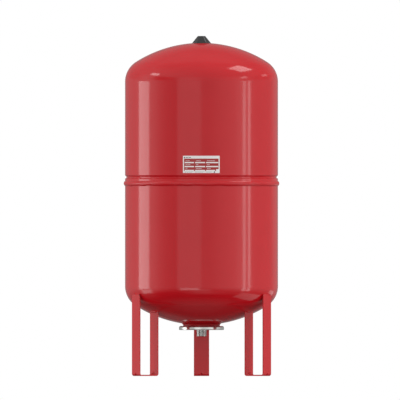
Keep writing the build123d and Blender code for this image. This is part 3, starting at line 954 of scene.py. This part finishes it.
def label_patch(left, right, low, high, level, corner):
    """Raised area with rounded corners, in mm from the label's lower left corner; level 0 is the film."""
    columns = fine(left + corner, right - corner, 2.0)
    into_corner = corner * (1 - np.cos(np.linspace(0, TURN / 4, 6)))[1:-1]
    columns = np.concatenate([left + into_corner, columns, right - into_corner[::-1]])
    level_height, film_thickness, print_thickness = 0.03, 0.08, 0.04
    front = label_film_radius + level * level_height * MM
    back = front - (print_thickness if level else film_thickness) * MM
    rows = []
    for place_across in columns:
        reach = min(place_across - left, right - place_across, corner)
        inset = corner - sqrt(corner**2 - (corner - reach) ** 2)
        angle = (place_across * MM - label_width / 2 + label_middle.x) / shell_radius
        bottom, top = (label_middle.z - label_height / 2 + z * MM for z in (low + inset, high - inset))
        loop = [(back, bottom), (front, bottom), (front, top), (back, top)]
        rows.append([(r * sin(angle), -r * cos(angle), z) for r, z in loop])
    return skin("patch", rows)


def dummy_text(left, right, middle, height, seed, corner, colour):
    """Parts of the label for a row of blank blocks where a line of small print would be."""
    shortest, longer, gap, scatter = 1.4, 2.6, 0.6, 12.9
    blocks = []
    while left < right - height:
        length = height * (shortest + longer * abs(sin(scatter * (len(blocks) + seed))))
        end = min(left + length, right)
        blocks.append((left, end, middle - height / 2, middle + height / 2, 2, corner, colour))
        left += length + gap * height
    return blocks


def make_label():
    """White film with a red field, nine blank boxes, and rows of blank blocks in place of print."""
    white, red, pale, dark = range(4)
    wide, tall = label_width / MM, label_height / MM
    margin, field_low, field_high = 3.6, 6.4, 47.1
    box_half_height = 1.95
    parts = [(0, wide, 0, tall, 0, 1.6, white)]
    parts.append((margin, wide - margin, field_low, field_high, 1, 0.5, red))
    columns = [(5.9, 36.9), (40.5, 73.1), (76.2, 116.9)]
    captions = [(13.5, 17, 26), (16.5, 9, 9.5), (6.5, 18.5, 12.5)]
    for row, (middle, caption_middle) in enumerate([(34.2, 40.3), (21.1, 27.6), (8.2, 14.8)]):
        for column, (left, right) in enumerate(columns):
            if row == 2 and column == 2:
                right = 106.0
            parts.append((left, right, middle - box_half_height, middle + box_half_height, 2, 0.9, white))
            start = left + 2.8
            end = start + captions[row][column]
            parts += dummy_text(start, end, caption_middle, 1.1, row + column, 0.3, white)
    parts.append((109.3, wide - 2.0, field_low - 1.0, 12.4, 2, 1.5, white))
    parts.append((margin, 7.6, 48.6, 52.6, 2, 0.3, dark))
    parts += dummy_text(9.8, 27.0, 50.6, 2.1, 3, 0.3, dark)
    for left, right in ((6.0, 35.5), (40.5, 71.5), (76.2, 98.5)):
        parts += dummy_text(left, right, 4.4, 0.9, left, 0.2, pale)
        parts += dummy_text(left, right - 5, 2.0, 0.9, right, 0.2, pale)
    parts.append((101.9, 106.1, 1.0, 5.2, 2, 0.3, dark))
    still = Matrix.Identity(4)
    return gather("type_label", [(label_patch(*part[:6]), still, part[6]) for part in parts])


type_label = make_label()
place(type_label, "label_film", print_white, "nameplate")
for print_material in (print_red, print_grey, print_dark):
    type_label.data.materials.append(print_material)

# ---- small hidden pieces keep their CAD meshes
for node, material in {
    "seam_backing_ring": raw_steel,
    "valve_seal": seal_rubber,
    "core_barrel": brass,
    "core_seal": seal_rubber,
    "dust_cap_seal": seal_rubber,
}.items():
    for material_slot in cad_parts[node].material_slots:
        material_slot.material = material

# ---- camera, light and floor
look_at = Vector((-4.94 * MM, 0, 575.4 * MM))
camera_distance = 6.0
light_distance = 25.0
camera_data = bpy.data.cameras.new("camera")
camera_data.type = "ORTHO"
camera_data.ortho_scale = 1.30772
camera_data.clip_end = 80
camera = new_object("camera", camera_data)
camera.location = look_at - Vector((0, camera_distance, 0))
camera.rotation_euler = (radians(90), 0, 0)
bpy.context.scene.camera = camera
bpy.context.scene.view_settings.view_transform = "Standard"


def direction(azimuth, elevation):
    """Unit vector; azimuth in degrees from the label's side, towards +X."""
    azimuth, elevation = radians(azimuth), radians(elevation)
    level = cos(elevation)
    return Vector((level * sin(azimuth), -level * cos(azimuth), sin(elevation)))


def softbox(name, azimuth, elevation, radiance, reflected=True):
    """Rectangular light over a range of azimuth and of elevation, in degrees, seen from the vessel."""
    middle = ((azimuth[0] + azimuth[1]) / 2, (elevation[0] + elevation[1]) / 2)
    wide = tan(radians(azimuth[1] - azimuth[0]) / 2) * cos(radians(middle[1]))
    light = bpy.data.lights.new(name, "AREA")
    light.shape = "RECTANGLE"
    light.size = 2 * light_distance * wide
    light.size_y = 2 * light_distance * tan(radians(elevation[1] - elevation[0]) / 2)
    light.energy = radiance * pi * light.size * light.size_y
    box = new_object(name, light)
    towards = direction(*middle)
    box.location = look_at + light_distance * towards
    box.rotation_euler = towards.to_track_quat("Z", "Y").to_euler()
    box.visible_camera = False
    box.visible_glossy = reflected


softbox("left_tall_box", (-109.5, -86), (-10.5, 2.5), 2.5)
softbox("left_low_box", (-106, -84), (-25, -13), 1.6)
softbox("left_high_box", (-90, -73), (24.5, 33), 4.0)
softbox("right_high_box", (71, 109.5), (40.5, 62), 3.6)
softbox("right_strip_inner", (65, 70.5), (-20, 4), 2.15)
softbox("right_strip_outer", (74.5, 79.2), (-20, 4), 2.5)
softbox("right_strip_foot", (64, 80), (-21, -11), 0.6)
softbox("right_upper_box", (64, 75), (15.5, 21), 2.4)
softbox("right_back_box", (108, 123), (15, 20.5), 1.1)
softbox("right_low_box", (66, 116), (-50, -28), 0.75)
softbox("right_corner_box", (128, 146), (-16, -9), 0.8)
softbox("front_low_box", (-33, -4), (-19.5, -10.5), 1.65)
softbox("front_low_glow", (-16, 14), (-26, -15), 0.35)
softbox("back_fill", (120, 240), (5, 75), 0.95, reflected=False)
softbox("right_fill", (95, 145), (-40, 50), 0.55, reflected=False)
softbox("left_fill", (-145, -105), (-40, 50), 0.6, reflected=False)
softbox("under_fill", (150, 210), (-80, -50), 0.95, reflected=False)


def make_world():
    """Studio round the vessel: an even overhead dome, walls of uneven grey at eye level, dark below."""
    world = bpy.data.worlds.new("studio")
    world.use_nodes = True
    bpy.context.scene.world = world
    world.node_tree.nodes.clear()

    def node(kind, **values):
        return add_node(world, kind, **values)

    def ramp(value, stops):
        made = node("ValToRGB", Fac=value)
        elements = made.color_ramp.elements
        elements.remove(elements[1])
        for i, (position, level) in enumerate(stops):
            element = elements.new(position) if i else elements[0]
            element.position, element.color = position, (*grey(level), 1)
        return made.outputs["Color"]

    def math_node(operation, *values):
        made = node("Math")
        made.operation = operation
        for value, target in zip(values, made.inputs):
            connect(value, target)
        return made.outputs[0]

    ray = node("SeparateXYZ", Vector=node("TexCoord").outputs["Generated"])
    azimuth = math_node("ARCTAN2", ray.outputs["X"], math_node("MULTIPLY", ray.outputs["Y"], -1.0))
    around = math_node("MULTIPLY_ADD", azimuth, 1 / TURN, 0.5)
    height = math_node("MULTIPLY_ADD", ray.outputs["Z"], 0.5, 0.5)

    def by_azimuth(stops):
        return ramp(around, [((degrees + 180) / 360, level) for degrees, level in stops])

    def by_elevation(stops):
        return ramp(height, [(0.5 + 0.5 * sin(radians(degrees)), level) for degrees, level in stops])

    def blend(*values):
        return mix_colours(world, *values)

    eye_level = by_azimuth([
        (-180, 0.26), (-165, 0.27), (-150, 0.33), (-135, 0.46), (-120, 0.66), (-104, 1.05), (-88, 1.3),
        (-75, 1.1), (-67, 0.85), (-55, 0.62), (-38, 0.52), (-36, 1.0), (-2, 1.04), (1, 0.67), (15, 0.7),
        (25, 0.82), (37, 0.92), (52, 1.06), (58, 1.3), (66, 1.3), (80, 1.05), (90, 0.8), (112, 0.56),
        (127, 0.42), (142, 0.44), (157, 0.33), (180, 0.26),
    ])
    above = by_azimuth([
        (-180, 0.25), (-150, 0.34), (-130, 0.48), (-112, 0.64), (-97, 0.85), (-80, 0.9), (-60, 0.84),
        (-20, 0.8), (5, 0.7), (50, 0.74), (90, 0.76), (112, 0.48), (127, 0.36), (142, 0.3), (180, 0.24),
    ])
    high = by_azimuth([
        (-180, 0.46), (-110, 0.55), (-60, 0.72), (0, 0.73), (60, 0.72), (110, 0.55), (180, 0.46),
    ])
    shoulder = by_azimuth([
        (-180, 0.25), (-140, 0.33), (-120, 0.48), (-110, 0.75), (-95, 1.15), (-82, 1.1), (-73, 0.42),
        (-60, 0.34), (-50, 0.46), (-40, 0.52), (-33, 0.97), (-10, 1.0), (3, 0.75), (15, 0.73), (30, 0.85),
        (50, 0.98), (60, 1.15), (70, 0.95), (85, 0.72), (100, 0.5), (120, 0.36), (140, 0.36), (160, 0.28),
        (180, 0.25),
    ])
    studio = blend(by_elevation([(4, 0), (9, 1)]), eye_level, shoulder)
    studio = blend(by_elevation([(17, 0), (25, 1)]), studio, above)
    studio = blend(by_elevation([(42, 0), (62, 1)]), studio, high)
    studio = blend(by_elevation([(74, 0), (84, 1)]), studio, (*grey(0.62), 1))
    fading = by_elevation([(-24, 0.38), (-18, 0.55), (-12, 0.80), (-8, 1)])
    studio = blend(1.0, studio, fading, "MULTIPLY")
    low = by_azimuth([
        (-180, 0.09), (-171, 0.15), (-162, 0.08), (-150, 0.12), (-140, 0.3), (-120, 0.08), (-95, 0.22),
        (-75, 0.05), (-35, 0.08), (-18, 0.3), (-5, 0.52), (10, 0.52), (25, 0.34), (45, 0.25), (60, 0.27),
        (105, 0.25), (120, 0.08), (135, 0.3), (155, 0.05), (180, 0.09),
    ])
    floor_level = by_elevation([(-90, 0.25), (-70, 0.18), (-60, 0.11), (-52, 0.055), (-45, 0.045)])
    studio = blend(by_elevation([(-30, 1), (-20, 0)]), studio, low)
    studio = blend(by_elevation([(-44, 1), (-33, 0)]), studio, floor_level)
    studio_light = node("Background", Color=studio)
    backdrop = node("Background", Color=(1, 1, 1, 1))
    seen = node("LightPath").outputs["Is Camera Ray"]
    both = node("MixShader", Fac=seen)
    connect(studio_light.outputs[0], both.inputs[1])
    connect(backdrop.outputs[0], both.inputs[2])
    node("OutputWorld", Surface=both.outputs[0])


make_world()


def make_floor():
    """Pale floor that takes shadows without changing the light on the vessel; clear from below."""
    work = bmesh.new()
    bmesh.ops.create_circle(work, cap_ends=True, segments=96, radius=25)
    mesh = bpy.data.meshes.new("studio_floor")
    work.to_mesh(mesh)
    work.free()
    floor = new_object("studio_floor", mesh)
    white = (1, 1, 1, 1)
    material = new_material("pale_floor", Roughness=0.7, Emission_Strength=0.22, Emission_Color=white)
    tint(material, grain(material, 0.4, 2), grey(0.88), grey(0.90))
    nodes = material.node_tree.nodes
    one_sided = add_node(material, "MixShader", Fac=add_node(material, "NewGeometry").outputs["Backfacing"])
    connect(nodes["Principled BSDF"].outputs[0], one_sided.inputs[1])
    connect(add_node(material, "BsdfTransparent").outputs[0], one_sided.inputs[2])
    connect(one_sided.outputs[0], nodes["Material Output"].inputs["Surface"])
    mesh.materials.append(material)
    floor.visible_diffuse = floor.visible_glossy = floor.visible_shadow = False


make_floor()
